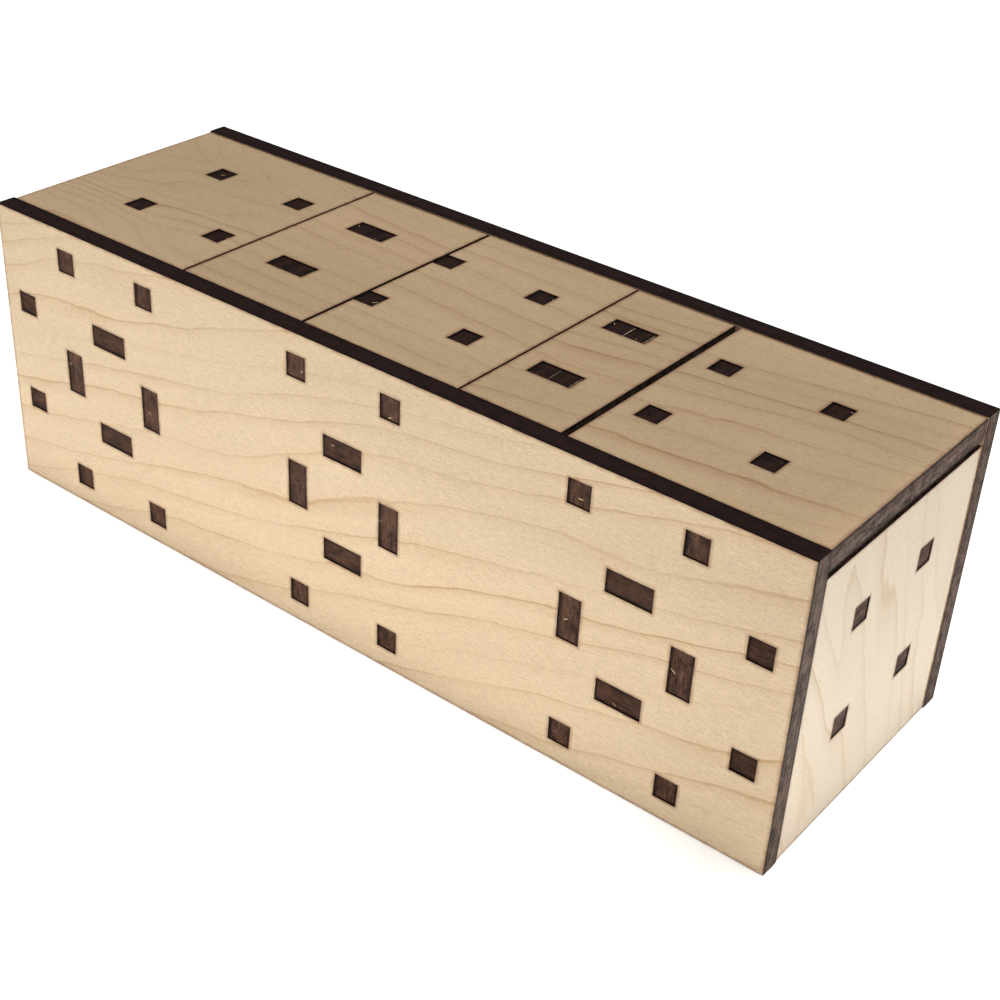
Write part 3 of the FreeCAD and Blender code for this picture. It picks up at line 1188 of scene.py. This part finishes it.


# the end-grain char colours below are partly painted sheen of lit end faces
PANEL_EDGE = LaserChar("laser_char_panel_edge")
RIB_TENON = LaserChar(
    "laser_char_rib_tenon", long_dark="180d0a", long_light="341e17", end_dark="23150f",
    end_light="5d3f2f", streak_share=0.1, strand_share=1.0, fleck_depth=0.15,
    # darker towards both faces: soot, and painted shade of the gaps round the tenons
    ply_soot_and_gap_shade=((0.0, 1.0), (0.3, 1.0), (0.34, 0.65), (0.4, 0.95), (0.7, 0.85), (0.88, 0.45), (1.0, 0.3)),
)
SHELF_TENON = LaserChar(
    "laser_char_shelf_tenon", long_dark="221510", long_light="4f3526", end_dark="261914",
    end_light="5a4133", streak_share=0.1, strand_share=1.0, fleck_depth=0.15,
    ply_soot_and_gap_shade=RIB_TENON.ply_soot_and_gap_shade,
)
# its smoke stain is stronger than on the outer faces: real scorch, deepened as painted shade in the
# gaps where these faces show
HIDDEN_FACE = BirchVeneer("birch_veneer_inside", stain=0.9)


@dataclass
class SubAssembly:
    """Sheets with the same face veneer and the same cut edges."""

    faces: BirchVeneer = HIDDEN_FACE
    edges: LaserChar = PANEL_EDGE
    sheets: list[PlySheet] = field(default_factory=list)
    pieces: dict[str, bpy.types.Object] = field(default_factory=dict)

    def build(self, shop: Workshop) -> None:
        """Redraw every sheet of the sub-assembly.

        Args:
            shop: the workshop.
        """
        for sheet in self.sheets:
            sheet.read(shop.nodes[sheet.node])
            self.pieces[sheet.node] = sheet.build(sheet.node + "_ply")

    def dress(self, shop: Workshop) -> None:
        """Give every sheet its finishes and its body, and hide the CAD node that it stands for.

        Args:
            shop: the workshop.
        """
        for node, piece in self.pieces.items():
            piece.data.materials.append(shop.finish(self.faces))
            piece.data.materials.append(shop.finish(self.edges))
            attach(piece, shop.body_of[node])
            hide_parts(node)
            LOG.info("%s: %s, %d faces", type(self).__name__, piece.name, len(piece.data.polygons))


@dataclass
class SidePanels(SubAssembly):
    """Front and back panel, the brightest veneer, its lines climbing along the box."""

    faces: BirchVeneer = BirchVeneer("birch_veneer_side")
    sheets: list[PlySheet] = field(default_factory=lambda: [
        PlySheet("front_panel", Lie.SIDE, Figure(40.0, 12.0, 0.27, 0.8)),
        PlySheet("back_panel", Lie.SIDE, Figure(420.0, 130.0, -0.12, 1.0)),
    ])


@dataclass
class EndPanels(SubAssembly):
    """Left and right end panel, grain upright, paler and cooler."""

    faces: BirchVeneer = BirchVeneer(
        "birch_veneer_end", pale="e8d8be", deep="bd945f", line_mm=14.0, line_depth=0.6,
        pore_depth=0.15, silk_depth=0.07)
    sheets: list[PlySheet] = field(default_factory=lambda: [
        PlySheet("left_end_panel", Lie.UPRIGHT, Figure(230.0, 310.0, 0.1, 1.2)),
        PlySheet("right_end_panel", Lie.UPRIGHT, Figure(705.0, 62.0, -0.3, 1.4)),
    ])


@dataclass
class Deck(SubAssembly):
    """Fixed top stretches and the floor: a warmer, quieter veneer, darkened as painted shade of the
    top.
    """

    # darker than the side veneer: painted shade of the less lit top
    faces: BirchVeneer = BirchVeneer(
        "birch_veneer_top_painted_shade", pale="cdb08a", deep="96622f", pore="8f6b46", line_mm=5.5,
        line_depth=0.7)
    sheets: list[PlySheet] = field(default_factory=lambda: [
        PlySheet("top_panel_left", Lie.LEVEL, Figure(90.0, 188.0, -0.1, 2.8)),
        PlySheet("top_panel_middle", Lie.LEVEL, Figure(310.0, 260.0, -0.05, 0.45)),
        PlySheet("top_panel_right", Lie.LEVEL, Figure(520.0, 95.0, 0.2, 0.7)),
        PlySheet("bottom_panel", Lie.LEVEL, Figure(900.0, 400.0, 0.02, 0.8)),
    ])


RIBS = ("left_outer_rib", "left_inner_rib", "middle_left_rib",
        "middle_right_rib", "right_inner_rib", "right_outer_rib")


@dataclass
class Ribs(SubAssembly):
    """Six upright plates across the box, hidden but for their tenon ends."""

    edges: LaserChar = RIB_TENON
    sheets: list[PlySheet] = field(default_factory=lambda: [
        PlySheet(name, Lie.CROSS, Figure(130.0 * i, 47.0 * i)) for i, name in enumerate(RIBS)
    ])


@dataclass
class Shelves(SubAssembly):
    """Two level plates halved with the ribs, hidden but for their tenon ends."""

    edges: LaserChar = SHELF_TENON
    sheets: list[PlySheet] = field(default_factory=lambda: [
        PlySheet("lower_shelf", Lie.LEVEL, Figure(35.0, 700.0)),
        PlySheet("upper_shelf", Lie.LEVEL, Figure(35.0, 800.0)),
    ])


@dataclass
class LidTop(SubAssembly):
    """The loose stretch of the top that lifts off."""

    side: Side = Side.LEFT
    figure: Figure = Figure()
    # darker than the side veneer: painted shade of the less lit top
    faces: BirchVeneer = BirchVeneer(
        "birch_veneer_lid", pale="cbad87", deep="926131", pore="8d6945", line_mm=4.5,
        line_depth=0.6)

    def __post_init__(self) -> None:
        """List the one sheet."""
        self.sheets = [PlySheet(self.side.value + "_lid", Lie.LEVEL, self.figure)]


@dataclass
class Keepers(SubAssembly):
    """The pair of plates glued under a lid, with tenons up through it."""

    side: Side = Side.LEFT
    edges: LaserChar = RIB_TENON
    bead: GlueLine = GlueLine()
    glue_between: tuple[float, float] = (0.0, 0.0)   # fullness in the front and back hole
    glue_beside: tuple[float, float] = (0.0, 0.0)    # the same, right of the right plate
    hole_play: float = 0.12 * MM                     # from that plate to the bead beside it

    def __post_init__(self) -> None:
        """List the two plates."""
        self.sheets = [
            PlySheet(f"{self.side.value}_keeper_{place}_plate", Lie.CROSS,
                     Figure(60.0 + 90.0 * i, 510.0))
            for i, place in enumerate(("left", "right"))
        ]

    def dress(self, shop: Workshop) -> None:
        """Finish the plates, and add the glue that was squeezed out beside their tenons.

        Args:
            shop: the workshop.
        """
        super().dress(shop)
        left, right = self.sheets
        body = shop.body_of[left.node]
        top = left.outline.across[-1]
        number = 0
        for joint, fullnesses in (
            (left.thickness[1], self.glue_between),
            (right.thickness[1] + self.hole_play, self.glue_beside),
        ):
            for (start, end), fullness in zip(self.tenon_spans(left, top), fullnesses):
                if fullness == 0.0:
                    continue
                number += 1
                ends = Vector((joint, start, top)), Vector((joint, end, top))
                piece = self.bead.build(f"{body}_glue_line_{number}", *ends, fullness)
                shop.fasten(piece, self.bead.glue, body)

    def tenon_spans(self, plate: PlySheet, top: float) -> list[tuple[float, float]]:
        """Return where the plate's upper tenons start and end, from front to back.

        Args:
            plate: one of the two plates.
            top: the height of the tenon ends.

        Returns:
            Two places across the box for each tenon.
        """
        cuts = plate.joined_cuts()
        return sorted((x0, x1) for x0, y0, x1, y1 in cuts if y0 == y1 == top)


@dataclass
class Bolt(SubAssembly):
    """A sliding bolt: two bars tied by a yoke, hidden under the top."""

    side: Side = Side.LEFT
    faces: BirchVeneer = BirchVeneer("birch_veneer_bolt", pale="dcc198", deep="b07f4c", stain=0.9)
    edges: LaserChar = RIB_TENON

    def __post_init__(self) -> None:
        """List the three sheets."""
        name = self.side.value + "_bolt_"
        self.sheets = [
            PlySheet(name + "front_bar", Lie.SIDE, Figure(15.0, 620.0)),
            PlySheet(name + "back_bar", Lie.SIDE, Figure(75.0, 655.0)),
            PlySheet(name + "yoke", Lie.CROSS, Figure(140.0, 690.0)),
        ]


@dataclass
class CutDetails:
    """The ridges and splinters on every body's cut edges."""

    ridges: KerfRidges = KerfRidges()
    splinters: Splinters = Splinters()

    def build(self, shop: Workshop, groups: list[SubAssembly]) -> None:
        """Grow the details of every body from the sheets that are built.

        Args:
            shop: the workshop.
            groups: the sub-assemblies, already built.
        """
        edged: dict[str, list[PlySheet]] = {}
        tenoned: dict[str, list[PlySheet]] = {}
        for group in groups:
            for sheet in group.sheets:
                body = shop.body_of[sheet.node]
                if group.edges is PANEL_EDGE:
                    edged.setdefault(body, []).append(sheet)
                elif not isinstance(group, Bolt):
                    tenoned.setdefault(body, []).append(sheet)
        for kind, loose, found in (
            (self.ridges, self.ridges.soot, edged),
            (self.splinters, self.splinters.wood, tenoned),
        ):
            for body, sheets in found.items():
                piece = kind.build(body, sheets, shop.finish(loose))
                shop.fasten(piece, loose, body)


# ---- Studio -----------------------------------------------------------------

@dataclass(frozen=True)
class SoftBox:
    """One soft studio light, an area light aimed at the box or at the floor beside it."""

    name: str
    place: tuple[float, float, float]
    aim: tuple[float, float, float]
    size: tuple[float, float]
    watts: float
    spread: float = 180.0       # degrees, narrow behind a grid

    def build(self) -> None:
        """Make the light."""
        data = bpy.data.lights.new(self.name, "AREA")
        data.shape = "RECTANGLE"
        data.size, data.size_y = self.size
        data.energy = self.watts
        data.spread = math.radians(self.spread)
        lamp = place_in_scene(self.name, data)
        lamp.location = self.place
        lamp.rotation_mode = "QUATERNION"
        ray = Vector(self.aim) - Vector(self.place)
        lamp.rotation_quaternion = ray.to_track_quat("-Z", "Y")


@dataclass(frozen=True)
class Studio:
    """The light table that the box stands on, soft light and the camera."""

    floor_half: float = 4.0
    floor_tone: str = "fafaf9"
    floor_rough: float = 0.9
    floor_glow: float = 0.35    # lit from below
    sky: str = "ffffff"
    sky_strength: float = 0.42
    lens_mm: float = 61.64
    camera_place: tuple[float, float, float] = (0.16088, -0.20022, 0.17935)
    camera_aim: tuple[float, float, float] = (0.01778, -0.00876, 0.028)
    camera_roll: float = 3.226      # degrees
    camera_near: float = 0.01
    lamps: tuple[SoftBox, ...] = (
        SoftBox("front_softbox", (-0.60, -0.75, 0.12), (-0.10, 0.0, -0.05), (0.6, 0.6), 0.5),
        SoftBox("right_softbox", (0.95, 0.0, 0.12), (0.08, 0.0, -0.03), (0.5, 0.5), 0.25),
        SoftBox("top_softbox", (0.1, 0.3, 1.1), (0.0, 0.0, 0.05), (0.8, 0.8), 7.0),
        SoftBox("front_strip", (-0.03, -0.088, 0.5), (-0.03, -0.088, 0.0), (0.2, 0.08), 0.19, 8.0),
        SoftBox("right_strip", (0.136, 0.0, 0.5), (0.136, 0.0, 0.0), (0.06, 0.1), 0.08, 8.0),
    )

    def build(self) -> None:
        """Make the floor, the world, the lights and the camera."""
        self.build_floor()
        self.build_world()
        for lamp in self.lamps:
            lamp.build()
        self.build_camera()
        bpy.context.scene.view_settings.view_transform = "Standard"

    def build_floor(self) -> None:
        """Make the light table that the box stands on."""
        half = self.floor_half
        mesh = bpy.data.meshes.new("studio_floor")
        corners = [(-half, -half, 0.0), (half, -half, 0.0), (half, half, 0.0), (-half, half, 0.0)]
        mesh.from_pydata(corners, [], [(0, 1, 2, 3)])
        floor = place_in_scene("studio_floor", mesh)
        material, tree = new_material("white_light_table")
        shader = add(tree, "ShaderNodeBsdfPrincipled",
                     {"Base Color": linear(self.floor_tone), "Roughness": self.floor_rough,
                      "Emission Color": linear(self.sky), "Emission Strength": self.floor_glow})
        add(tree, "ShaderNodeOutputMaterial", {0: shader.outputs[0]})
        mesh.materials.append(material)

    def build_world(self) -> None:
        """Make the even light of a white room."""
        world = bpy.data.worlds.new("white_room")
        world.use_nodes = True
        world.node_tree.nodes.clear()
        light = add(world.node_tree, "ShaderNodeBackground",
                    {"Color": linear(self.sky), "Strength": self.sky_strength})
        add(world.node_tree, "ShaderNodeOutputWorld", {0: light.outputs[0]})
        bpy.context.scene.world = world

    def build_camera(self) -> None:
        """Make the camera and make it the scene's."""
        data = bpy.data.cameras.new("camera")
        data.lens = self.lens_mm
        data.clip_start = self.camera_near
        camera = place_in_scene("camera", data)
        forward = (Vector(self.camera_aim) - Vector(self.camera_place)).normalized()
        level = forward.cross(Vector((0.0, 0.0, 1.0))).normalized()
        right = Matrix.Rotation(-math.radians(self.camera_roll), 3, forward) @ level
        up = right.cross(forward)
        axes = Matrix((right, up, -forward)).transposed()
        camera.matrix_world = Matrix.Translation(self.camera_place) @ axes.to_4x4()
        bpy.context.scene.camera = camera


def main() -> None:
    """Build every sub-assembly in order, then its details, then the studio."""
    logging.basicConfig(level=logging.INFO, format="%(name)s %(message)s")
    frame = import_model()
    shop = Workshop.around(frame)
    groups: list[SubAssembly] = [
        SidePanels(),
        EndPanels(),
        Deck(),
        Ribs(),
        Shelves(),
        LidTop(side=Side.LEFT, figure=Figure(230.0, 150.0, -0.06, 0.5)),
        LidTop(side=Side.RIGHT, figure=Figure(610.0, 330.0, 0.12, 1.0)),
        Keepers(side=Side.LEFT),
        Keepers(side=Side.RIGHT, glue_between=(0.35, 1.0), glue_beside=(0.5, 0.7)),
        Bolt(side=Side.LEFT),
        Bolt(side=Side.RIGHT),
    ]
    for group in groups:
        group.build(shop)
        group.dress(shop)
    CutDetails().build(shop, groups)
    Studio().build()


if __name__ == "__main__":
    main()
